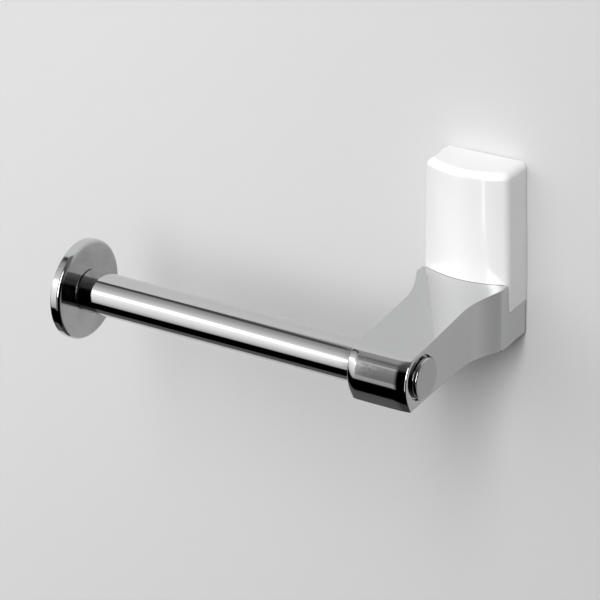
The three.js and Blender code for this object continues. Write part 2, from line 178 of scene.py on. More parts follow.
def apply_modifiers(piece):
    """Turns a piece's modifiers into its own mesh."""
    bpy.context.view_layer.update()
    graph = bpy.context.evaluated_depsgraph_get()
    mesh = bpy.data.meshes.new_from_object(piece.evaluated_get(graph), depsgraph=graph)
    piece.modifiers.clear()
    old, piece.data = piece.data, mesh
    bpy.data.meshes.remove(old)
    mesh.name = piece.name


def cut(piece, *cutters, operation="DIFFERENCE"):
    """Takes the cutters out of the piece, or joins them to it, and removes them."""
    for tool in cutters:
        step = piece.modifiers.new("cut", "BOOLEAN")
        step.operation = operation
        step.solver = "EXACT"
        step.object = tool
    apply_modifiers(piece)
    for tool in cutters:
        bpy.data.objects.remove(tool)


def bevel(piece, width, segments, angle, harden=False):
    """Rounds every edge that turns more than the angle."""
    step = piece.modifiers.new("edges", "BEVEL")
    step.width = width
    step.segments = segments
    step.limit_method = "ANGLE"
    step.angle_limit = angle
    step.use_clamp_overlap = True
    step.harden_normals = harden
    apply_modifiers(piece)


def keep(piece, body, slot, *nodes):
    """The piece rides on its body and stands for its frame nodes; the slot is not used. Its broad faces stay
    flat in the shading, and its rounded edges take the turn."""
    step = piece.modifiers.new("shading", "WEIGHTED_NORMAL")
    step.mode = "FACE_AREA"
    step.weight = 50
    step.keep_sharp = True
    apply_modifiers(piece)
    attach(piece, body)
    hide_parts(*nodes)


# ---------------------------------------------------------------- material helpers
class Finish:
    """A small wrapper for building one material's nodes."""

    def __init__(self, name, **values):
        self.material = bpy.data.materials.new(name)
        self.material.use_nodes = True
        self.tree = self.material.node_tree
        self.shader = self.tree.nodes["Principled BSDF"]
        self.place = self.add("ShaderNodeTexCoord").outputs["Object"]
        for socket, value in values.items():
            self.shader.inputs[socket.replace("_", " ")].default_value = value

    def add(self, kind, inputs=None, **settings):
        node = self.tree.nodes.new(kind)
        for key, value in settings.items():
            setattr(node, key, value)
        for socket, value in (inputs or {}).items():
            if isinstance(value, bpy.types.NodeSocket):
                self.tree.links.new(value, node.inputs[socket])
            else:
                node.inputs[socket].default_value = value
        return node

    def stretched(self, scale):
        return self.add("ShaderNodeMapping", {"Vector": self.place, "Scale": scale}).outputs["Vector"]

    def noise(self, scale, detail=3.0, stretch=(1, 1, 1)):
        inputs = {"Vector": self.stretched(stretch), "Scale": scale, "Detail": detail}
        return self.add("ShaderNodeTexNoise", inputs).outputs["Fac"]

    def spread(self, factor, low, high, start=0.3, end=0.7):
        """Maps a factor that runs from start to end onto low to high."""
        inputs = {"Value": factor, "From Min": start, "From Max": end, "To Min": low, "To Max": high}
        return self.add("ShaderNodeMapRange", inputs).outputs["Result"]

    def blend(self, factor, first, second):
        """Mixes two colours by a factor."""
        node = self.add("ShaderNodeMix", {0: factor}, data_type="RGBA")
        for socket, colour in ((6, first), (7, second)):
            if isinstance(colour, bpy.types.NodeSocket):
                self.tree.links.new(colour, node.inputs[socket])
            else:
                node.inputs[socket].default_value = colour
        return node.outputs[2]

    def colour(self, factor, first, second):
        self.tree.links.new(self.blend(factor, first, second), self.shader.inputs["Base Color"])

    def roughness(self, factor, low, high, start=0.3, end=0.7):
        value = self.spread(factor, low, high, start, end)
        self.tree.links.new(value, self.shader.inputs["Roughness"])

    def bump(self, height, distance):
        node = self.add("ShaderNodeBump", {"Height": height, "Distance": distance, "Strength": 1.0})
        self.tree.links.new(node.outputs["Normal"], self.shader.inputs["Normal"])


def shade(colour, factor):
    """The colour made lighter or darker."""
    return tuple(min(1.0, c * factor) for c in colour[:3]) + (1.0,)


def polished_chrome(name, tint, side=1.0, haze=(0.028, 0.055), mottle=0.0):
    """Bright plating: near-mirror, with a faint polishing haze and a slow orange-peel. The faces that look
    along the bar get painted shade, a darker colour that stands in for the darker reflections they show: side
    says how much darker they are, and mottle how unevenly."""
    finish = Finish(name, Metallic=1.0)
    cloud = finish.noise(45, 4)
    fine = finish.noise(900, 2)
    plate = finish.blend(cloud, shade(tint, 0.985), shade(tint, 1.01))
    # painted shade: faces that look along the bar are coloured darker by the side factor, with mottle,
    # standing in for their darker reflections
    facing = finish.add("ShaderNodeSeparateXYZ", {0: finish.add("ShaderNodeTexCoord").outputs["Normal"]})
    across = finish.add("ShaderNodeMath", {0: facing.outputs["X"]}, operation="ABSOLUTE").outputs[0]
    painted_side_shade = finish.blend(finish.spread(finish.noise(110, 4), 0.0, 1.0, 0.35, 0.6),
                        shade(tint, side - mottle), shade(tint, side + mottle))
    finish.colour(finish.spread(across, 0.0, 1.0, 0.6, 0.97), plate, painted_side_shade)
    patches = finish.add("ShaderNodeMath", {0: cloud, 1: fine}, operation="MULTIPLY").outputs[0]
    finish.roughness(patches, *haze, 0.12, 0.4)
    finish.bump(finish.noise(160, 1), 0.0000035)
    return finish.material


def moulded_white(name, tint):
    """Glossy white plastic with a faint mould texture under its gloss."""
    finish = Finish(name, IOR=1.5, Coat_Weight=0.6, Coat_Roughness=0.03, Coat_IOR=1.5,
                    Subsurface_Weight=0.06, Subsurface_Radius=(0.002, 0.002, 0.0018))
    cloud = finish.noise(60, 3)
    finish.colour(cloud, shade(tint, 0.985), tint)
    finish.roughness(finish.noise(700, 3), 0.13, 0.22)
    finish.bump(finish.noise(420, 2), 0.000004)
    return finish.material


def plated_zinc(name, tint):
    """Bright zinc plate on pressed steel: spangled patches and a drawn grain."""
    finish = Finish(name, Metallic=1.0)
    cells = finish.add("ShaderNodeTexVoronoi", {"Vector": finish.stretched((1, 1, 1)), "Scale": 260.0})
    spangle = cells.outputs["Distance"]
    grain = finish.noise(420, 4, (1, 1, 9))
    finish.colour(spangle, shade(tint, 1.12), shade(tint, 0.86))
    finish.roughness(grain, 0.26, 0.46)
    finish.bump(grain, 0.00002)
    return finish.material


def machined_steel(name, tint, rough=(0.2, 0.36)):
    """Steel fixings: a fine turned grain and slightly dulled patches."""
    finish = Finish(name, Metallic=1.0)
    grain = finish.noise(700, 3, (1, 7, 1))
    cloud = finish.noise(130, 3)
    finish.colour(cloud, shade(tint, 0.86), shade(tint, 1.06))
    finish.roughness(grain, *rough)
    finish.bump(grain, 0.000012)
    return finish.material


def spring_strip(name, tint):
    """Rolled spring steel: long rolling lines and a straw-blue temper tint."""
    finish = Finish(name, Metallic=1.0)
    lines = finish.noise(500, 4, (9, 1, 1))
    finish.colour(finish.noise(90, 2), tint, shade((tint[0] * 0.8, tint[1] * 0.86, tint[2], 1), 0.95))
    finish.roughness(lines, 0.2, 0.34)
    finish.bump(lines, 0.00001)
    return finish.material


def turned_brass(name, tint):
    """Brass straight from the lathe: fine rings and warm patches."""
    finish = Finish(name, Metallic=1.0)
    rings = finish.noise(520, 3, (10, 1, 1))
    finish.colour(finish.noise(150, 3), shade(tint, 0.82), shade(tint, 1.05))
    finish.roughness(rings, 0.24, 0.4)
    finish.bump(rings, 0.000014)
    return finish.material


def oxide_black(name, tint):
    """Oil-blackened steel, a little rubbed."""
    finish = Finish(name, Metallic=0.85)
    finish.colour(finish.noise(240, 4), shade(tint, 0.7), shade(tint, 1.5))
    finish.roughness(finish.noise(500, 4), 0.38, 0.58)
    finish.bump(finish.noise(900, 3), 0.00001)
    return finish.material


def moulded_rubber(name, tint):
    """Dull black rubber with a fine grain."""
    finish = Finish(name, IOR=1.5, Sheen_Weight=0.15, Sheen_Roughness=0.5)
    finish.colour(finish.noise(300, 4), shade(tint, 0.75), shade(tint, 1.4))
    finish.roughness(finish.noise(600, 3), 0.6, 0.8)
    finish.bump(finish.noise(1500, 3), 0.00002)
    return finish.material


def moulded_nylon(name, tint):
    """Grey nylon, slightly milky."""
    finish = Finish(name, IOR=1.53, Subsurface_Weight=0.1, Subsurface_Radius=(0.001, 0.001, 0.001))
    finish.colour(finish.noise(120, 3), shade(tint, 0.9), shade(tint, 1.06))
    finish.roughness(finish.noise(500, 4), 0.42, 0.58)
    finish.bump(finish.noise(1100, 3), 0.000015)
    return finish.material


# ---------------------------------------------------------------- what a user can change
def length_property(label, about, value):
    """A length in millimetres, kept in metres."""
    return bpy.props.FloatProperty(
        name=label, description=about, default=value * MM, min=0.0, precision=5,
        subtype="DISTANCE", unit="LENGTH")


def colour_property(label, about, value):
    """A colour with full alpha."""
    return bpy.props.FloatVectorProperty(
        name=label, description=about, default=(*value, 1.0), size=4, min=0.0, max=1.0, subtype="COLOR")


class ArmSizes(bpy.types.PropertyGroup):
    depth: length_property("Base depth", "From the wall to the crease where the arm starts", 21.6)
    half_width: length_property("Base half width", "Half the width of the base", 19.6)
    nose_half: length_property("Nose half width", "Half the width of the arm at the bar", 13.2)
    flare: length_property("Flare", "Length over which the base narrows to the arm", 20.4)
    lip_top: length_property("Lip height", "Top of the front lip, below the origin", 10.3)
    top_sag: length_property("Top sag", "How far the arm's top dips below a straight line", 0.5)
    bottom_rise: length_property("Bottom rise", "How far the underside rises above a straight line", 1.0)
    root_step: length_property("Root step", "Step in the underside at the base", 0.6)
    pillow: length_property("Pillow", "How far the nose's front turns back at its two ends", 0.7)
    pillow_length: length_property("Pillow length", "Width of each of those turned ends", 6.0)
    edge: length_property("Edge", "Rounding of the long edges", 0.45)
    wall: length_property("Wall", "Thickness of the base's walls", 2.4)


class CoverSizes(bpy.types.PropertyGroup):
    wall: length_property("Wall", "Thickness of the cover", 2.0)
    bow: length_property("Bow", "How far the front bows out", 4.9)
    corner_y: length_property("Corner depth", "Distance of the front vertical edges from the wall", 15.9)
    corner_round: length_property("Corner radius", "Rounding of the front vertical edges", 2.0)
    top_round: length_property("Top radius", "Rounding of the top edge", 3.0)
    edge: length_property("Edge", "Softening of the lower rim's edges", 0.15)
    draft: bpy.props.FloatProperty(
        name="Draft", description="Taper of the sides towards the top",
        default=math.radians(1.2), subtype="ANGLE", unit="ROTATION")


class BarSizes(bpy.types.PropertyGroup):
    wall: length_property("Tube wall", "Wall thickness of the bar's tube", 1.0)
    disc_front: length_property("Disc front rounding", "Rounding of the disc's edge on the roll's side", 1.6)
    disc_back: length_property("Disc back rounding", "Rounding of the disc's outer edge", 0.8)
    cap_round: length_property("Cap rounding", "Rounding of the end cap", 0.6)
    thread_pitch: length_property("Thread pitch", "Pitch of the stud's thread", 0.8)


class Colours(bpy.types.PropertyGroup):
    chrome: colour_property("Chrome", "Plating on the arm, bar, disc and cap", (0.63, 0.633, 0.637))
    white: colour_property("White", "Plastic of the cover", (0.86, 0.86, 0.857))
    zinc: colour_property("Zinc", "Plating on the wall plate", (0.56, 0.57, 0.58))
    steel: colour_property("Steel", "Screws, washers, rivet and stud", (0.6, 0.6, 0.61))
    spring: colour_property("Spring steel", "Leaf spring", (0.5, 0.51, 0.54))
    brass: colour_property("Brass", "Threaded insert in the tube", (0.72, 0.55, 0.27))
    black: colour_property("Black oxide", "Grub screw", (0.022, 0.022, 0.024))
    rubber: colour_property("Rubber", "Grip rings", (0.014, 0.014, 0.014))
    nylon: colour_property("Nylon", "Wall plugs", (0.4, 0.41, 0.43))
    wall: colour_property("Wall paint", "Wall and floor of the stage", (0.7, 0.7, 0.7))


# ---------------------------------------------------------------- curves for outlines
def bezier(points, steps):
    """Points on a quadratic or cubic curve, without its first one."""
    found = []
    for i in range(1, steps + 1):
        t = i / steps
        row = [Vector(p) for p in points]
        while len(row) > 1:
            row = [a.lerp(b, t) for a, b in zip(row, row[1:])]
        found.append(tuple(row[0]))
    return found


# ---------------------------------------------------------------- the arm casting
NOSE_MARGIN = 2.3 * MM  # metal above and below the bar at the nose
BROW = 9 * MM  # from the fullest front back to the end of the flat top
CHIN = 3.7 * MM  # from the fullest front back to the end of the underside
BROW_PULLS = (5 * MM, 8 * MM)  # how far the brow's curve keeps to the top, and then to the front
CHIN_PULLS = (4 * MM, 4.2 * MM)  # how far the chin's curve keeps to the front, and then to its foot
CHIN_LEAN = math.radians(27)  # how far the chin leans forward at its foot
PILLOW_RISE = 1.25  # how much sooner than the brow the turned ends reach their full depth
WALL_GAP = 0.8 * MM  # between the casting and the wall
SEAT_GAP = 0.3 * MM  # between the casting's rebate and the cover's rim
BASE_FRONT = 3 * MM  # thickness of the base behind its crease
BOSS = (5 * MM, -4 * MM, -33.7 * MM)  # the grub screw's boss: its half width, back and top
POSTS = (12.6 * MM, 17.6 * MM, -16.7 * MM)  # the cover's two rests: inner side, outer side and back
GRUB_HOLE = (2.55 * MM, -9 * MM, -33 * MM)  # its radius, depth from the wall and top
BORE_PLAY = 0.2 * MM  # all round between the bar and its bore
BORE_FLARE = 0.45 * MM  # rounding of the bore's mouths
RING_AT = 7 * MM  # from the arm's middle to each grip ring
RING_GROOVE = (0.8 * MM, 1.15 * MM)  # half the width of a grip ring's groove, and its depth


def arm_outline(s):
    """The arm's outline in (y, z) as four chains: its top, brow, chin and underside. The first and the last
    start at the base's crease."""
    depth, drop = s.depth, -s.lip_top
    front_y, low, high = ARM[0].y, ARM[0].z, AXIS_Z + BAR_RADIUS + NOSE_MARGIN
    nose_low = AXIS_Z - BAR_RADIUS - NOSE_MARGIN
    top = (front_y + BROW, high)
    bottom = (front_y + CHIN, nose_low)
    root = (-depth, low + s.root_step)
    upper_mid = ((top[0] - depth) / 2, (high + drop) / 2 - s.top_sag)
    lower_mid = ((bottom[0] - depth) / 2, (nose_low + root[1]) / 2 + s.bottom_rise)
    along_top, down_front = BROW_PULLS
    brow = bezier([top, (top[0] - along_top, high), (front_y, AXIS_Z + down_front), (front_y, AXIS_Z)], 26)
    down, foot = CHIN_PULLS
    above_foot = (bottom[0] - foot * math.sin(CHIN_LEAN), bottom[1] + foot * math.cos(CHIN_LEAN))
    chin = bezier([(front_y, AXIS_Z), (front_y, AXIS_Z - down), above_foot, bottom], 20)
    upper = [(-depth, drop)] + bezier([(-depth, drop), upper_mid, top], 30)
    lower = [root] + bezier([root, lower_mid, bottom], 30)
    return upper, brow, chin, lower


def arm_half_width(y, s):
    """Half the casting's width at a depth y: the base, its concave flare, then the parallel arm."""
    out = -y - s.depth
    if out <= 0:
        return s.half_width
    if out >= s.flare:
        return s.nose_half
    wide, narrow, pull = s.half_width, s.nose_half, s.flare / 3
    curve = [(0, wide), (pull, wide - (wide - narrow) / 2), (s.flare - pull, narrow), (s.flare, narrow)]
    steps = [(0, wide)] + bezier(curve, 48)
    for (a, w0), (b, w1) in zip(steps, steps[1:]):
        if a <= out <= b:
            return w0 + (w1 - w0) * (out - a) / (b - a)
    return narrow


def arm_loop(s):
    """The casting's whole side outline in (y, z), and which of its points lie on the rounded nose."""
    upper, brow, chin, lower = arm_outline(s)
    seat = COVER[0].z - SEAT_GAP
    seam_low, seam_top = (-(s.depth - step) - SEAT_GAP for step in SEAM_STEP)
    base = [(-WALL_GAP, ARM[0].z), (-WALL_GAP, seat), (seam_low, seat), (seam_top, -s.lip_top)]
    loop = base + upper + brow + chin[:-1] + lower[::-1] + [(-s.depth, ARM[0].z)]
    first = len(base) + len(upper)
    return loop, range(first, first + len(brow) + len(chin) - 1)


def pillow_depth(x, half, s):
    """How far the nose's front lies back at x, because its two ends turn back."""
    length = s.pillow_length if x > 0 else s.pillow_length / 2
    out = abs(x) - (half - length)
    if out <= 0:
        return 0.0
    radius = (length ** 2 + s.pillow ** 2) / (2 * s.pillow)
    return radius - math.sqrt(radius ** 2 - out ** 2)


def arm_body(s, material):
    """The casting before its holes: the side outline carried across the width, with closed sides."""
    loop, nose = arm_loop(s)
    start, columns = 1 - s.pillow_length / s.nose_half, 9
    rising = [start + (1 - start) * i / columns for i in range(columns + 1)]
    shares = [-share for share in reversed(rising)] + rising
    front_y, brow_y = ARM[0].y, ARM[0].y + BROW
    points, faces = [], []
    for i, (y, z) in enumerate(loop):
        half = arm_half_width(y, s)
        fade = min(1.0, (brow_y - y) / (brow_y - front_y) * PILLOW_RISE) if y < brow_y else 0.0
        for share in shares:
            x = share * half
            back = pillow_depth(x, half, s) * math.sin(fade * math.pi / 2) if i in nose or fade > 0 else 0.0
            points.append((x, y + back, z))
    count, width = len(loop), len(shares)
    for i in range(count):
        j = (i + 1) % count
        for k in range(width - 1):
            faces.append((i * width + k, j * width + k, j * width + k + 1, i * width + k + 1))
    faces += arm_sides(loop, width, s)
    body = mesh_piece("arm_casting_body", points, faces, material)
    mark_arm_edges(body, s)
    return body


def arm_sides(loop, width, s):
    """The two side faces: a base panel, matched strips down the flare, and one panel for the nose."""
    flare_end, tiny = -s.depth - s.flare, 1e-9
    flare = [i for i, (y, _) in enumerate(loop) if flare_end <= y <= -s.depth + tiny]
    upper = [i for i in flare if loop[i][1] > AXIS_Z]
    lower = [i for i in reversed(flare) if loop[i][1] < AXIS_Z]
    crease_low = [i for i in lower if abs(loop[i][0] + s.depth) < tiny]
    first_low = min(crease_low, key=lambda i: -loop[i][1])
    lower = [i for i in lower if i not in crease_low or i == first_low]
    strips = []
    a, b = 0, 0
    last_a, last_b = len(upper) - 1, len(lower) - 1
    while a < last_a or b < last_b:
        if a < last_a and (b == last_b or loop[upper[a + 1]][0] >= loop[lower[b + 1]][0]):
            strips.append((upper[a], upper[a + 1], lower[b]))
            a += 1
        else:
            strips.append((upper[a], lower[b + 1], lower[b]))
            b += 1
    nose = list(range(upper[-1], lower[-1] + 1))
    base = [i for i in range(len(loop)) if i <= upper[0] or i >= first_low]
    panels = strips + [tuple(nose), tuple(base)]
    left = [tuple(i * width for i in panel) for panel in panels]
    right = [tuple(i * width + width - 1 for i in panel) for panel in panels]
    return left + right


def mark_arm_edges(body, s):
    """Rounds the outline's edges on both sides and the creases across, by a weight on each."""
    shape = bmesh.new()
    shape.from_mesh(body.data)
    weight = shape.edges.layers.float.new("bevel_weight_edge")
    for edge in shape.edges:
        if len(edge.link_faces) == 2 and edge.calc_face_angle(0) >= math.radians(24):
            edge[weight] = 1.0
    shape.to_mesh(body.data)
    shape.free()
    step = body.modifiers.new("edges", "BEVEL")
    step.width = s.edge
    step.segments = 3
    step.limit_method = "WEIGHT"
    step.use_clamp_overlap = True
    apply_modifiers(body)


def bore_cutter(s, material):
    """The bore for the bar, flared at both mouths, with a groove for each grip ring."""
    bore, half, past = BAR_RADIUS + BORE_PLAY, s.nose_half, 2 * MM
    mouth = [(bore, half - BORE_FLARE), (bore + BORE_FLARE * 0.3, half - BORE_FLARE * 0.35)]
    mouth += [(bore + BORE_FLARE, half), (bore + BORE_FLARE + past, half + past), (0, half + past)]
    profile = [(r, -x) for r, x in reversed(mouth)]
    wide, deep = RING_GROOVE
    for middle in (-RING_AT, RING_AT):
        profile += groove(bore, middle - wide, -deep, 0, 2 * wide)
    return turned("bore_cutter", profile + mouth, material, "x", AXIS, 128)


def make_arm(s, colours):
    """The chrome casting: a hollow base with its rests and boss, and the arm with the bar's bore."""
    # 0.84 paints shade on the arm's side faces
    chrome = polished_chrome("arm_chrome", colours.chrome, 0.84, (0.025, 0.05))
    piece = arm_body(s, chrome)
    under, inside, front = ARM[0].z, s.half_width - s.wall, -s.depth + BASE_FRONT
    floor = under + s.wall
    cup = block("cup", (-inside, front, floor), (inside, 10 * MM, COVER[1].z), chrome, 0.8 * MM, 3)
    cut(piece, cup)
    half, back, top = BOSS
    boss = block("boss", (-half, front - PAST, floor - PAST), (half, back, top), chrome)
    near, far, back = POSTS
    posts = [block("post", (a, front - PAST, floor - PAST), (b, back, -s.lip_top), chrome)
             for a, b in ((-far, -near), (near, far))]
    cut(piece, boss, *posts, operation="UNION")
    r, y, top = GRUB_HOLE
    profile = [(0, under - PAST), (r + PAST, under - PAST), (r, under + 0.2 * MM), (r, top), (0, top)]
    hole = turned("hole", profile, chrome, "z", (0, y, 0), 48)
    cut(piece, hole, bore_cutter(s, chrome))
    smooth(piece.data, math.radians(34))
    piece.name = "arm_shell"
    keep(piece, "bracket", "arm_chrome", "arm_casting")


# ---------------------------------------------------------------- the cover
HOOKS = (14.2 * MM, -2 * MM)  # inner side and front of the two hooks that slide behind the plate


def cover_row(inset, z, s, y_back):
    """One closed plan outline of the cover, as (x, y, z), from its back left round to its back right."""
    steps = 22
    arm = bpy.context.scene.holder_arm
    floor = -arm.lip_top + SEAM
    half = arm.half_width - inset - max(z - floor, 0) * math.tan(s.draft)
    round_ = max(s.corner_round - inset, s.corner_round / 5)
    bend = half - round_

    def front(x):
        return -s.corner_y + inset - s.bow * (1 - (x / half) ** 2)

    edge = [(-half, front(half) + round_), (-half, front(half)), (-bend, front(bend))]
    turn = [edge[0]] + bezier(edge, 10)
    flat = [(-bend * (1 - i / steps), front(bend * (1 - i / steps))) for i in range(1, steps)]
    left = [(-half, y_back)] + turn + flat
    right = [(-x, y) for x, y in left][::-1]
    return [(x, y, z) for x, y in left + [(0, front(0))] + right]


def cover_form(name, inset, z_low, s, y_back, material):
    """One closed body of the cover's form with its top edge rounded."""
    top = COVER[1].z - inset
    floor = -bpy.context.scene.holder_arm.lip_top + SEAM
    rows = [cover_row(inset, z_low, s, y_back), cover_row(inset, floor, s, y_back)]
    start, across = top - s.top_round, 0.98  # the rounding is a little less across than it is high
    rows += [cover_row(inset, floor + (start - floor) * i / 6, s, y_back) for i in range(1, 6)]
    for r, sunk in corner(0, 0, s.top_round, 1, 12):
        rows.append(cover_row(inset - r * across, top + sunk, s, y_back))
    points = [p for row in rows for p in row]
    return mesh_piece(name, points, ring_faces(len(rows), len(rows[0])), material, math.radians(40))


def make_cover(s, colours):
    """The white cover: a hollow shell with two hooks inside, which stands on the arm's lip."""
    white = moulded_white("cover_white", colours.white)
    arm = bpy.context.scene.holder_arm
    low, back, under = COVER[0].z, COVER[1].y, COVER[0].z - 5 * MM
    shell = cover_form("cover_shell", 0, low, s, back, white)
    hollow = cover_form("hollow", s.wall, under, s, 30 * MM, white)
    cut(shell, hollow)
    near, front = HOOKS
    far, top = arm.half_width - s.wall / 2, COVER[1].z - s.wall + 0.2 * MM
    hooks = [block("hook", (a, front, low), (b, back, top), white) for a, b in ((near, far), (-far, -near))]
    mask = cover_form("mask", 0.05 * MM, low, s, back, white)
    for hook in hooks:
        step = hook.modifiers.new("within", "BOOLEAN")
        step.operation = "INTERSECT"
        step.solver = "EXACT"
        step.object = mask
        apply_modifiers(hook)
    bpy.data.objects.remove(mask)
    cut(shell, *hooks, operation="UNION")
    seam_low, seam_top = (-(arm.depth - step) for step in SEAM_STEP)
    floor, outside = -arm.lip_top + SEAM, -60 * MM
    outline = [(outside, under), (seam_low, under), (seam_low, low), (seam_top, floor), (outside, floor)]
    points = [(x, y, z) for x in (-50 * MM, 50 * MM) for y, z in outline]
    sides = [(i, (i + 1) % 5, (i + 1) % 5 + 5, i + 5) for i in range(5)]
    lip = mesh_piece("lip", points, sides + [(4, 3, 2, 1, 0), (5, 6, 7, 8, 9)], white)
    cut(shell, lip)
    smooth(shell.data, math.radians(34))
    bevel(shell, s.edge, 2, math.radians(40))
    keep(shell, "cover", "cover_white", "cover")


# ---------------------------------------------------------------- the bar
def make_bar(s, colours):
    """The bar's chrome tube, softened at both ends."""
    chrome = polished_chrome("bar_chrome", colours.chrome)
    x0, x1, r, e = TUBE[0].x, TUBE[1].x, BAR_RADIUS, 0.25 * MM
    bore = r - s.wall
    profile = corner(r, x1, e, 1, 4) + [(bore + e, x1), (bore, x1 - e), (bore, x0 + e), (bore + e, x0)]
    profile += corner(r, x0, e, -1, 4)[::-1]
    tube = turned("bar_sleeve", profile, chrome, "x", AXIS, 192, closed=True)
    keep(tube, "bar", "bar_chrome", "bar_tube")


def make_disc(s, colours):
    """The end disc: rounded at the rim, slightly dished outside, with a blind hole for the stud."""
    # 0.77 and the mottle paint shade on the disc's faces
    chrome = polished_chrome("disc_chrome", colours.chrome, 0.77, (0.03, 0.14), mottle=0.06)
    radius, back, face = (DISC[1].z - DISC[0].z) / 2, DISC[0].x, DISC[1].x
    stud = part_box("disc_stud")
    seat, depth = (stud[1].z - stud[0].z) / 2 + 0.15 * MM, stud[0].x - 0.3 * MM
    dish, rim = 0.35 * MM, 0.25 * MM
    hollow = [(0, 0.4), (0.35, 0.36), (0.62, 0.2), (0.82, 0.05)]  # shares of the radius and of the dish
    profile = [(radius * out, back + dish * deep) for out, deep in hollow]
    profile += corner(radius, back, s.disc_back, -1, 7)[::-1] + corner(radius, face, s.disc_front, 1, 12)
    profile += [(seat + rim, face), (seat, face - rim), (seat, depth), (0, depth)]
    disc = turned("disc_plate", profile, chrome, "x", AXIS, 192)
    keep(disc, "bar", "disc_chrome", "end_disc")


def make_cap(s, colours):
    """The end cap, on a grooved shank that presses into the tube."""
    # 0.68 paints shade on the cap's face
    chrome = polished_chrome("plug_chrome", colours.chrome, 0.68)
    head, face, x0 = BAR_RADIUS - 0.6 * MM, CAP[1].x, CAP[0].x
    shank, shoulder = BAR_RADIUS - s.wall - 0.05 * MM, TUBE[1].x + 0.3 * MM
    profile = [(0, x0), (shank - MM, x0), (shank, x0 + MM)]
    for i in range(5):
        profile += groove(shank, x0 + (1.6 + 1.9 * i) * MM, 0.35 * MM, 0.3 * MM, 1.2 * MM)
    profile += [(shank, shoulder), (head, shoulder)] + corner(head, face, s.cap_round, 1, 8) + [(0, face)]
    cap = turned("end_cap", profile, chrome, "x", AXIS, 128)
    keep(cap, "bar", "plug_chrome", "end_plug")


def threaded(name, x0, x1, radius, pitch, chamfer, material, centre=(0, 0, 0)):
    """A rod along x with a real helical thread, and its two ends chamfered."""
    depth, per_turn, sides = pitch * 0.45, 10, 40
    rows = int((x1 - x0) / pitch * per_turn)
    points = []
    for j in range(rows + 1):
        x = x0 + (x1 - x0) * j / rows
        ease = min(1.0, (x - x0) / chamfer, (x1 - x) / chamfer)
        for i in range(sides):
            turn = 2 * math.pi * i / sides
            phase = (x / pitch - i / sides) % 1.0
            tooth = 1 - abs(phase - 0.5) * 2
            r = radius - depth * (1 - tooth) - chamfer * (1 - max(ease, 0.0))
            points.append(Vector(centre) + Vector((x, r * math.cos(turn), r * math.sin(turn))))
    return mesh_piece(name, points, ring_faces(rows + 1, sides), material, math.radians(50))


def make_bar_fixings(s, colours):
    """The threaded stud that holds the disc, and the brass insert in the tube that takes it."""
    low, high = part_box("disc_stud")
    steel = machined_steel("stud_steel", colours.steel)
    stud = threaded("stud_thread", low.x, high.x, (high.z - low.z) / 2, s.thread_pitch, 0.4 * MM, steel, AXIS)
    keep(stud, "bar", "fixing_steel", "disc_stud")
    low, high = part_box("tube_insert")
    brass = turned_brass("insert_brass", colours.brass)
    r, bore, e = (high.z - low.z) / 2, 2.6 * MM, 0.4 * MM
    profile = [(bore, low.x), (r - e, low.x), (r, low.x + e)]
    for i in range(4):
        profile += groove(r, low.x + (2 + 3 * i) * MM, e, 0.3 * MM, 1.3 * MM)
    profile += [(r, high.x - e), (r - e, high.x), (bore, high.x)]
    insert = turned("insert_sleeve", profile, brass, "x", AXIS, 96, closed=True)
    keep(insert, "bar", "insert_brass", "tube_insert")


def make_rings(colours):
    """The two rubber rings in the arm that grip the bar."""
    rubber = moulded_rubber("ring_rubber", colours.rubber)
    for node in ("grip_ring_inner", "grip_ring_outer"):
        low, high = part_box(node)
        section = (high.x - low.x) / 2
        middle, x = (high.z - low.z) / 2 - section, (low.x + high.x) / 2
        profile = [(middle + section * math.cos(t * math.pi / 10), x + section * math.sin(t * math.pi / 10))
                   for t in range(20)]
        ring = turned(node + "_seal", profile, rubber, "x", AXIS, 128, closed=True)
        keep(ring, "bar_seat", "ring_rubber", node)


# ---------------------------------------------------------------- the wall side
def make_plate(colours):
    """Carries the plate's own form over, with its pressed edges softened."""
    zinc = plated_zinc("plate_zinc", colours.zinc)
    plate = softened("plate_pressing", "wall_plate", zinc, 0.25 * MM)
    keep(plate, "bracket", "plate_zinc", "wall_plate")


def softened(name, node, material, width):
    """A copy of a frame node's form with merged flat faces and softened edges."""
    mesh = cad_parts[node].data.copy()
    mesh.name = name
    mesh.materials.clear()
    mesh.materials.append(material)
    shape = bmesh.new()
    shape.from_mesh(mesh)
    bmesh.ops.remove_doubles(shape, verts=shape.verts, dist=2e-6)
    bmesh.ops.dissolve_limit(shape, angle_limit=math.radians(1), verts=shape.verts, edges=shape.edges)
    shape.to_mesh(mesh)
    shape.free()
    smooth(mesh)
    piece = add_object(name, mesh)
    bevel(piece, width, 2, math.radians(40))
    return piece


def screw_profile(low, high):
    """The wall screw's turned profile with a stepped thread and a tapered point, as (radius, y) pairs."""
    top, tip, under = low.y, high.y, low.y + 2.6 * MM
    head, thread, core = 4 * MM, 2 * MM, 1.45 * MM
    plain, pitch, point, blunt = 4 * MM, 1.4 * MM, 5 * MM, 1.5 * MM
    crest, foot = pitch * 0.3, pitch * 0.62
    profile = [(0, top)] + corner(head, top, 1.3 * MM, -1, 8)[::-1] + [(head, under), (core, under)]
    y = under + plain
    profile.append((core, y))
    while y < tip - point - pitch:
        profile += [(thread, y + crest), (core, y + foot), (core, y + pitch)]
        y += pitch
    while y < tip - blunt:
        share = (tip - y) / (point + pitch)
        profile += [(thread * share + 0.1 * MM, y + crest), (core * share, y + foot)]
        y += pitch
    return profile + [(0, tip)]


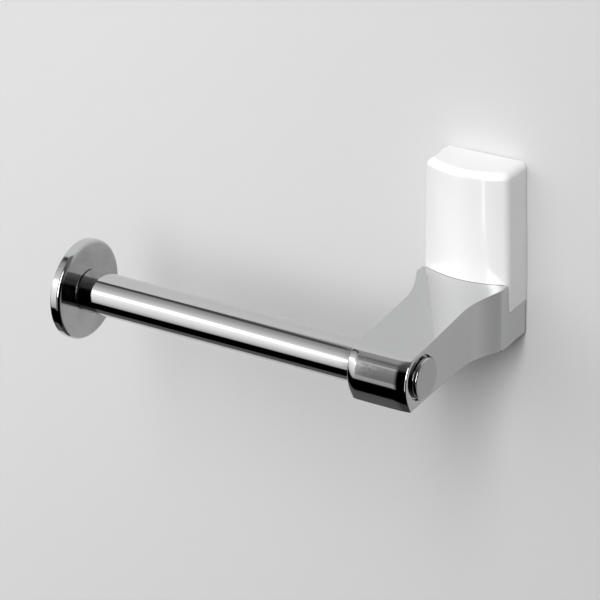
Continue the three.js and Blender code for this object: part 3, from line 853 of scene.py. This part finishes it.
def make_screws(colours):
    """The two wall screws, each with a cross in its domed head, and their washers."""
    steel = machined_steel("fixing_steel", colours.steel)
    slot, reach, sunk = 0.55 * MM, 2.2 * MM, 1.6 * MM
    for place in ("upper", "lower"):
        node = "wall_screw_" + place
        low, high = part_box(node)
        z = (low.z + high.z) / 2
        body = turned(node + "_thread", screw_profile(low, high), steel, "y", (0, 0, z), 48)
        for w, h in ((slot, reach), (reach, slot)):
            near, far = (-w, low.y - PAST, z - h), (w, low.y + sunk, z + h)
            cut(body, block("cross", near, far, steel, 0.2 * MM))
        smooth(body.data)
        keep(body, "bracket", "fixing_steel", node)
        node = "washer_" + place
        low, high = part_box(node)
        r, bore, e = (high.z - low.z) / 2, 2.25 * MM, 0.2 * MM
        profile = [(bore, low.y + e), (bore + e, low.y)] + corner(r, low.y, e, -1, 4)[::-1]
        profile += corner(r, high.y, e, 1, 4) + [(bore, high.y)]
        washer = turned(node + "_ring", profile, steel, "y", (0, 0, z), 64, closed=True)
        keep(washer, "bracket", "fixing_steel", node)


def make_wall_plugs(colours):
    """The two plugs in the wall: a flange, a ribbed shank and a slit to let it spread."""
    nylon = moulded_nylon("plug_nylon", colours.nylon)
    bore, r, rim, flange = 2.2 * MM, 3 * MM, 3.8 * MM, 0.9 * MM
    for place in ("upper", "lower"):
        node = "wall_plug_" + place
        low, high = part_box(node)
        y0, y1, z = low.y, high.y, (low.z + high.z) / 2
        profile = [(bore, y0)] + corner(rim, y0, 0.2 * MM, -1, 3)[::-1] + [(rim, y0 + flange)]
        profile += [(r, y0 + flange), (r, y0 + 6 * MM)]
        for i in range(8):
            y = y0 + (6.5 + 2.3 * i) * MM
            profile += [(r - 0.5 * MM, y), (r, y + 1.7 * MM), (r, y + 1.9 * MM)]
        profile += [(r, y1 - 1.8 * MM), (r - 0.6 * MM, y1), (bore, y1)]
        plug = turned(node + "_ribbed", profile, nylon, "y", (0, 0, z), 48, closed=True)
        slit, across = 0.5 * MM, 6 * MM
        cut(plug, block("slit", (-slit, 8 * MM, z - across), (slit, y1 + PAST, z + across), nylon))
        smooth(plug.data)
        keep(plug, "bracket", "plug_nylon", node)


def make_spring(colours):
    """The leaf spring that holds the cover, and the rivet that holds the spring."""
    strip = spring_strip("spring_steel", colours.spring)
    leaf = softened("spring_leaf", "cover_spring", strip, 0.08 * MM)
    keep(leaf, "bracket", "spring_steel", "cover_spring")
    steel = machined_steel("rivet_steel", colours.steel, (0.24, 0.4))
    low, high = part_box("spring_rivet")
    z, top, under, end = (low.z + high.z) / 2, low.y, low.y + MM, high.y
    head, shank, e = 2.2 * MM, 1.2 * MM, 0.15 * MM
    profile = [(0, top)] + corner(head, top, 0.85 * MM, -1, 8)[::-1] + [(head, under)]
    profile += [(shank, under), (shank, end - e), (shank - e, end), (0, end)]
    rivet = turned("rivet_head", profile, steel, "y", (0, 0, z), 64)
    keep(rivet, "bracket", "fixing_steel", "spring_rivet")


def make_grub(colours):
    """The grub screw under the base, with a hexagon for its key."""
    black = oxide_black("grub_black", colours.black)
    low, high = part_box("grub_screw")
    centre = ((low.x + high.x) / 2, (low.y + high.y) / 2, 0)
    body = threaded("grub_thread", low.z, high.z, (high.x - low.x) / 2, 0.8 * MM, 0.35 * MM, black)
    body.data.transform(Matrix.Rotation(-math.pi / 2, 4, "Y"))
    body.data.transform(Matrix.Translation(centre))
    r, mouth = 1.443 * MM, low.z - PAST  # half the width across the corners of a 2.5 mm key
    profile = [(0, mouth), (r, mouth), (r, low.z + 2 * MM), (0, low.z + 2.4 * MM)]
    cut(body, turned("key", profile, black, "z", centre, 6))
    smooth(body.data)
    keep(body, "bracket", "grub_black", "grub_screw")


# ---------------------------------------------------------------- the stage
STAGE_HALF = 2.5
FLOOR_Z = -0.42
WALL_Y = 0.1 * MM  # just clear of the plate's back
OPENING = (13 * MM, 33 * MM)  # half sizes of the hole behind the plate
PAINTED_LIGHT_GRADE = (-0.6, 0, 0.45)  # painted light: the way in which the paint is made lighter, per metre, standing in for the light's fall-off across the wall
PAINTED_LIGHT_GRADE_ENDS = (-0.16, 0.14)  # where on that painted light grade it is darkest and lightest
PAINTED_SHADE_RIGHT = (0.08, 0.2)  # painted shade: where the paint darkens towards the right, in x, so the arm's flare reflects a darker wall
CAMERA_AT = (0.47675, -0.88997, 0.47070)
CAMERA_ANGLES = (32.484, 26.271, -1.419)  # degrees to the right, above the holder and of roll
LENS = 163.9


def stage_paint(name, tint, one_sided=False):
    """Matt wall paint with a faint roller texture, and painted light: darker towards the lower right as a lit
    wall is, and painted shade far to the right.
    """
    finish = Finish(name, IOR=1.4, Roughness=0.9, Specular_IOR_Level=0.2)
    cloud = finish.noise(6, 3)
    roller = finish.noise(260, 3)
    # painted light: the paint grows darker towards the lower right, standing in for the fall-off of light on
    # the wall
    away = finish.add("ShaderNodeVectorMath", {0: finish.place, 1: PAINTED_LIGHT_GRADE}, operation="DOT_PRODUCT")
    painted_light_tone = finish.spread(away.outputs["Value"], 0.0, 1.0, *PAINTED_LIGHT_GRADE_ENDS)
    paint = finish.blend(cloud, shade(tint, 0.99), shade(tint, 1.01))
    # painted shade: the wall is painted dark to the right of the holder, so the arm's flare reflects a darker
    # band
    right = finish.add("ShaderNodeSeparateXYZ", {0: finish.place}).outputs["X"]
    near = finish.blend(painted_light_tone, shade(tint, 0.8), paint)
    finish.colour(finish.spread(right, 0.0, 1.0, *PAINTED_SHADE_RIGHT), near, shade(tint, 0.3))
    finish.bump(roller, 0.00008)
    if one_sided:
        see_through = finish.add("ShaderNodeBsdfTransparent").outputs[0]
        side = finish.add("ShaderNodeNewGeometry").outputs["Backfacing"]
        mix = finish.add("ShaderNodeMixShader", {0: side, 1: finish.shader.outputs[0], 2: see_through})
        out = next(n for n in finish.tree.nodes if n.type == "OUTPUT_MATERIAL")
        finish.tree.links.new(mix.outputs[0], out.inputs["Surface"])
    return finish.material


def wall_plane(material):
    """The wall: one sheet facing the room, with an opening behind the plate for the plugs and screws."""
    (x, z), far, y = OPENING, STAGE_HALF, WALL_Y
    outer = [(-far, y, FLOOR_Z), (far, y, FLOOR_Z), (far, y, far), (-far, y, far)]
    inner = [(-x, y, -z), (x, y, -z), (x, y, z), (-x, y, z)]
    faces = [(i, (i + 1) % 4, (i + 1) % 4 + 4, i + 4) for i in range(4)]
    mesh = bpy.data.meshes.new("wall")
    mesh.from_pydata(outer + inner, [], faces)
    mesh.materials.append(material)
    mesh.update()
    if mesh.polygons[0].normal.y > 0:
        mesh.flip_normals()
    return add_object("wall", mesh)


def floor_plane(material):
    """The floor, well below the holder."""
    mesh = bpy.data.meshes.new("floor")
    far = STAGE_HALF
    points = [(-far, -far, FLOOR_Z), (far, -far, FLOOR_Z), (far, WALL_Y, FLOOR_Z), (-far, WALL_Y, FLOOR_Z)]
    mesh.from_pydata(points, [], [(0, 1, 2, 3)])
    mesh.materials.append(material)
    return add_object("floor", mesh)


# Brightness of the room by degrees above the horizontal, seen facing out from the wall.
PANEL = [  # the big soft panel on the left
    (-180, 0.5), (-120, 0.3), (-95, 0.14), (-72, 0.1), (-71, 0.0), (-32, 0.0), (-29.5, 0.5), (-23.6, 0.65),
    (-15.6, 0.86), (-7.6, 1.0), (0.4, 1.16), (8.4, 1.26), (14, 1.5), (18, 2.6), (27, 2.6), (32.4, 1.02),
    (40.4, 0.81), (48.4, 0.69), (56.4, 0.556), (64.4, 0.44), (73, 0.37), (78, 0.07), (84, 0.07), (90, 0.18),
    (92, 0.5), (180, 0.5)]
EDGE = [  # the duller strip beside it
    (-180, 0.4), (-120, 0.2), (-95, 0.14), (-72, 0.1), (-71, 0.0), (-32, 0.0), (-29.5, 0.44), (-22, 0.44),
    (-20, 0.2), (5, 0.27), (25, 0.36), (27, 0.6), (33, 0.6), (35, 0.27), (44, 0.27), (50, 0.18), (58, 0.18),
    (68, 0.38), (85, 0.38), (92, 0.5), (180, 0.5)]
REST = [  # the dark room on the right
    (-180, 0.25), (-120, 0.12), (-95, 0.08), (-72, 0.05), (-71, 0.0), (26, 0.0), (36, 0.05), (42, 0.07),
    (58, 0.08), (75, 0.14), (90, 0.2), (180, 0.3)]
STRIP = [(-180, 0.0), (-2, 0.0), (4, 9.0), (50, 9.0), (56, 0.0), (180, 0.0)]  # the tall key, in front
KEY = [  # the key as the matt surfaces take it, wider and softer
    (-180, 0.0), (4, 0.0), (12, 4.0), (24, 9.0), (54, 9.0), (66, 0.0), (180, 0.0)]
SKY = [  # soft light from above and in front, which only the matt surfaces take
    (-180, 0.08), (-10, 0.1), (12, 0.45), (30, 0.75), (50, 0.75), (75, 0.35), (95, 0.2), (180, 0.12)]
GLINT = [(-180, 0.0), (-31, 0.0), (-29, 3.0), (-6, 3.0), (0, 0.0), (180, 0.0)]  # a thin light below it
# The next three are measured across the room by a direction's x, which is -1 at the left and 1 at the right.
PANEL_EDGE = (-0.463, -0.458)  # where the panel gives way to the duller strip
REST_EDGE = (-0.42, -0.30)  # where that strip gives way to the dark room
SKY_EDGE = (0.2, 1.3)  # where the soft light fades
# The next three are measured by x for each metre out from the wall: each light comes in between the first
# two and goes out between the last two.
STRIP_EDGES = (0.07, 0.10, 0.28, 0.31)
KEY_EDGES = (-0.06, 0.12, 0.24, 0.42)
GLINT_EDGES = (-0.01, 0.0, 0.05, 0.06)
LEAN_FROM = 0.502  # the panel's bands tilt about this far to the left of the middle
LEAN_SLOPE = -190 / 360  # by this part of a turn for each unit of x
LEAN_LIMITS = (-0.022, 0.011)  # and by no more than this
LEAN_STARTS = (0.47, 0.51)  # from just below the horizontal, which is 0.5, to just above it
SPREAD_SHARE = 0.15  # how much of the room's light the matt surfaces take
SPREAD_KEY = 1.36  # and how much of the key's
NEAR_LEVEL = 0.02  # least distance out from the wall that a direction is given


class Room:
    """The studio room's light, built as the world's nodes."""

    def __init__(self, scene):
        world = bpy.data.worlds.new("studio")
        scene.world = world
        world.use_nodes = True
        self.nodes, self.links = world.node_tree.nodes, world.node_tree.links
        place = self.nodes.new("ShaderNodeTexCoord").outputs["Generated"]
        split = self.nodes.new("ShaderNodeSeparateXYZ")
        self.links.new(place, split.inputs[0])
        self.x = split.outputs["X"]
        away = self.math("MULTIPLY", split.outputs["Y"], -1.0)
        self.turn = self.math("DIVIDE", self.x, self.math("MAXIMUM", away, NEAR_LEVEL))
        angle = self.math("ARCTAN2", split.outputs["Z"], away)
        self.height = self.math("ADD", self.math("DIVIDE", angle, 2 * math.pi), 0.5)

    def math(self, operation, a, b=None):
        node = self.nodes.new("ShaderNodeMath")
        node.operation = operation
        for socket, value in enumerate((a, b)):
            if isinstance(value, bpy.types.NodeSocket):
                self.links.new(value, node.inputs[socket])
            elif value is not None:
                node.inputs[socket].default_value = value
        return node.outputs[0]

    def step(self, value, low, high):
        """0 below low, 1 above high, and a smooth rise between."""
        node = self.nodes.new("ShaderNodeMapRange")
        node.interpolation_type = "SMOOTHSTEP"
        self.links.new(value, node.inputs["Value"])
        node.inputs["From Min"].default_value = low
        node.inputs["From Max"].default_value = high
        return node.outputs["Result"]

    def window(self, value, edges):
        """1 between the middle two edges, 0 outside the outer two."""
        rise, fall = self.step(value, *edges[:2]), self.step(value, *edges[2:])
        return self.math("MULTIPLY", rise, self.math("SUBTRACT", 1.0, fall))

    def ramp(self, table, height=None):
        """The brightness that a table of (degrees, brightness) gives at a height."""
        node = self.nodes.new("ShaderNodeValToRGB")
        stops = node.color_ramp.elements
        stops.remove(stops[-1])
        top = max(value for _, value in table)
        for i, (degrees, value) in enumerate(table):
            place = (degrees + 180) / 360
            stop = stops[0] if i == 0 else stops.new(place)
            stop.position = place
            stop.color = (value / top, value / top, value / top, 1)
        self.links.new(height or self.height, node.inputs[0])
        return self.math("MULTIPLY", node.outputs[0], top)

    def leaning(self):
        """The height with the panel's lean in it, which starts near the horizontal."""
        least, most = LEAN_LIMITS
        lean = self.math("MULTIPLY", self.math("ADD", self.x, LEAN_FROM), LEAN_SLOPE)
        lean = self.math("MAXIMUM", self.math("MINIMUM", lean, most), least)
        lean = self.math("MULTIPLY", lean, self.step(self.height, *LEAN_STARTS))
        return self.math("SUBTRACT", self.height, lean)

    def mix(self, share, first, second):
        """The first where the share is 0, the second where it is 1."""
        rest = self.math("SUBTRACT", 1.0, share)
        return self.math("ADD", self.math("MULTIPLY", share, second), self.math("MULTIPLY", rest, first))


def room_light(scene):
    """The room: a soft panel on the left, a dark right side, and a tall key strip in front. Mirrors see it
    sharp, and the matt surfaces take a softer version."""
    room = Room(scene)
    left = room.mix(room.step(room.x, *PANEL_EDGE), room.ramp(PANEL, room.leaning()), room.ramp(EDGE))
    whole = room.mix(room.step(room.x, *REST_EDGE), left, room.ramp(REST))
    strip = room.math("MULTIPLY", room.window(room.turn, STRIP_EDGES), room.ramp(STRIP))
    key = room.math("MULTIPLY", room.window(room.turn, KEY_EDGES), room.ramp(KEY))
    glint = room.math("MULTIPLY", room.window(room.turn, GLINT_EDGES), room.ramp(GLINT))
    mirror = room.math("ADD", whole, room.math("ADD", strip, glint))
    shared, keyed = room.math("MULTIPLY", whole, SPREAD_SHARE), room.math("MULTIPLY", key, SPREAD_KEY)
    sky = room.math("MULTIPLY", room.ramp(SKY), room.math("SUBTRACT", 1.0, room.step(room.x, *SKY_EDGE)))
    spread = room.math("ADD", room.math("ADD", shared, keyed), sky)
    glossy = room.nodes.new("ShaderNodeLightPath").outputs["Is Glossy Ray"]
    back = room.nodes["Background"]
    room.links.new(room.mix(glossy, spread, mirror), back.inputs["Strength"])
    back.inputs["Color"].default_value = (1, 1, 1, 1)


def fill_light(scene):
    """A broad soft fill from the upper left, which grades the wall."""
    data = bpy.data.lights.new("fill", "AREA")
    data.shape = "RECTANGLE"
    data.size = data.size_y = 0.7
    data.energy = 2.0
    light = bpy.data.objects.new("fill", data)
    scene.collection.objects.link(light)
    light.location = (-0.45, -0.75, 0.45)
    light.visible_glossy = False
    away = light.location - Vector((-0.05, 0, 0))
    light.rotation_euler = away.to_track_quat("Z", "Y").to_euler()


def make_camera(scene):
    """A long lens on the holder's right, above it."""
    data = bpy.data.cameras.new("camera")
    data.sensor_width = 36.0
    data.lens = LENS
    data.clip_start = 0.01
    data.clip_end = 20
    camera = bpy.data.objects.new("camera", data)
    scene.collection.objects.link(camera)
    aside, tilt, roll = (math.radians(angle) for angle in CAMERA_ANGLES)
    back = Vector((math.sin(aside) * math.cos(tilt), -math.cos(aside) * math.cos(tilt), math.sin(tilt)))
    right = Vector((math.cos(aside), math.sin(aside), 0))
    up = back.cross(right)
    across = right * math.cos(roll) + up * math.sin(roll)
    upright = up * math.cos(roll) - right * math.sin(roll)
    turn = Matrix((across, upright, back)).transposed().to_4x4()
    camera.matrix_world = Matrix.Translation(CAMERA_AT) @ turn
    scene.camera = camera


# ---------------------------------------------------------------- operators
class HOLDER_OT_arm(bpy.types.Operator):
    """Make the chrome arm casting"""
    bl_idname = "holder.arm"
    bl_label = "Arm Casting"

    def execute(self, context):
        make_arm(context.scene.holder_arm, context.scene.holder_colours)
        return {"FINISHED"}


class HOLDER_OT_cover(bpy.types.Operator):
    """Make the white slide-on cover"""
    bl_idname = "holder.cover"
    bl_label = "Cover"

    def execute(self, context):
        make_cover(context.scene.holder_cover, context.scene.holder_colours)
        return {"FINISHED"}


class HOLDER_OT_bar(bpy.types.Operator):
    """Make the bar's chrome tube"""
    bl_idname = "holder.bar"
    bl_label = "Bar"

    def execute(self, context):
        make_bar(context.scene.holder_bar, context.scene.holder_colours)
        return {"FINISHED"}


class HOLDER_OT_disc(bpy.types.Operator):
    """Make the chrome end disc"""
    bl_idname = "holder.disc"
    bl_label = "End Disc"

    def execute(self, context):
        make_disc(context.scene.holder_bar, context.scene.holder_colours)
        return {"FINISHED"}


class HOLDER_OT_cap(bpy.types.Operator):
    """Make the chrome end cap"""
    bl_idname = "holder.cap"
    bl_label = "End Cap"

    def execute(self, context):
        make_cap(context.scene.holder_bar, context.scene.holder_colours)
        return {"FINISHED"}


class HOLDER_OT_bar_fixings(bpy.types.Operator):
    """Make the bar's threaded stud and brass insert"""
    bl_idname = "holder.bar_fixings"
    bl_label = "Stud and Insert"

    def execute(self, context):
        make_bar_fixings(context.scene.holder_bar, context.scene.holder_colours)
        return {"FINISHED"}


class HOLDER_OT_rings(bpy.types.Operator):
    """Make the two rubber grip rings"""
    bl_idname = "holder.rings"
    bl_label = "Grip Rings"

    def execute(self, context):
        make_rings(context.scene.holder_colours)
        return {"FINISHED"}


class HOLDER_OT_plate(bpy.types.Operator):
    """Make the zinc wall plate"""
    bl_idname = "holder.plate"
    bl_label = "Wall Plate"

    def execute(self, context):
        make_plate(context.scene.holder_colours)
        return {"FINISHED"}


class HOLDER_OT_screws(bpy.types.Operator):
    """Make the two wall screws and their washers"""
    bl_idname = "holder.screws"
    bl_label = "Screws and Washers"

    def execute(self, context):
        make_screws(context.scene.holder_colours)
        return {"FINISHED"}


class HOLDER_OT_wall_plugs(bpy.types.Operator):
    """Make the two ribbed nylon wall plugs"""
    bl_idname = "holder.wall_plugs"
    bl_label = "Wall Plugs"

    def execute(self, context):
        make_wall_plugs(context.scene.holder_colours)
        return {"FINISHED"}


class HOLDER_OT_spring(bpy.types.Operator):
    """Make the cover's leaf spring and its rivet"""
    bl_idname = "holder.spring"
    bl_label = "Leaf Spring"

    def execute(self, context):
        make_spring(context.scene.holder_colours)
        return {"FINISHED"}


class HOLDER_OT_grub(bpy.types.Operator):
    """Make the black grub screw under the base"""
    bl_idname = "holder.grub"
    bl_label = "Grub Screw"

    def execute(self, context):
        make_grub(context.scene.holder_colours)
        return {"FINISHED"}


class HOLDER_OT_stage(bpy.types.Operator):
    """Make the wall, the floor, the lights and the camera"""
    bl_idname = "holder.stage"
    bl_label = "Stage"

    def execute(self, context):
        scene = context.scene
        paint = scene.holder_colours.wall
        wall = wall_plane(stage_paint("wall_paint", paint, one_sided=True))
        floor = floor_plane(stage_paint("floor_paint", paint))
        floor.visible_glossy = floor.visible_diffuse = False
        room_light(scene)
        fill_light(scene)
        make_camera(scene)
        scene.view_settings.view_transform = "Standard"
        scene.view_settings.look = "None"
        return {"FINISHED"}


class HOLDER_PT_panel(bpy.types.Panel):
    """Lists the holder's pieces and their sizes"""
    bl_idname = "HOLDER_PT_panel"
    bl_label = "Paper Roll Holder"
    bl_space_type = "VIEW_3D"
    bl_region_type = "UI"
    bl_category = "Roll Holder"

    def draw(self, context):
        scene = context.scene
        for operator in OPERATORS:
            self.layout.operator(operator.bl_idname)
        for group in GROUPS:
            values = getattr(scene, group)
            box = self.layout.box()
            box.label(text=group.replace("holder_", "").title())
            for name in values.__annotations__:
                box.prop(values, name)


OPERATORS = [
    HOLDER_OT_arm, HOLDER_OT_cover, HOLDER_OT_bar, HOLDER_OT_disc, HOLDER_OT_cap, HOLDER_OT_bar_fixings,
    HOLDER_OT_rings, HOLDER_OT_plate, HOLDER_OT_screws, HOLDER_OT_wall_plugs, HOLDER_OT_spring,
    HOLDER_OT_grub, HOLDER_OT_stage]
GROUPS = {
    "holder_arm": ArmSizes, "holder_cover": CoverSizes, "holder_bar": BarSizes, "holder_colours": Colours}


def register():
    for group, kind in GROUPS.items():
        bpy.utils.register_class(kind)
        setattr(bpy.types.Scene, group, bpy.props.PointerProperty(type=kind))
    for kind in [*OPERATORS, HOLDER_PT_panel]:
        bpy.utils.register_class(kind)


def unregister():
    for kind in [HOLDER_PT_panel, *reversed(OPERATORS)]:
        bpy.utils.unregister_class(kind)
    for group, kind in reversed(GROUPS.items()):
        delattr(bpy.types.Scene, group)
        bpy.utils.unregister_class(kind)


def main():
    register()
    for operator in OPERATORS:
        family, name = operator.bl_idname.split(".")
        getattr(getattr(bpy.ops, family), name)()


if __name__ == "__main__":
    main()
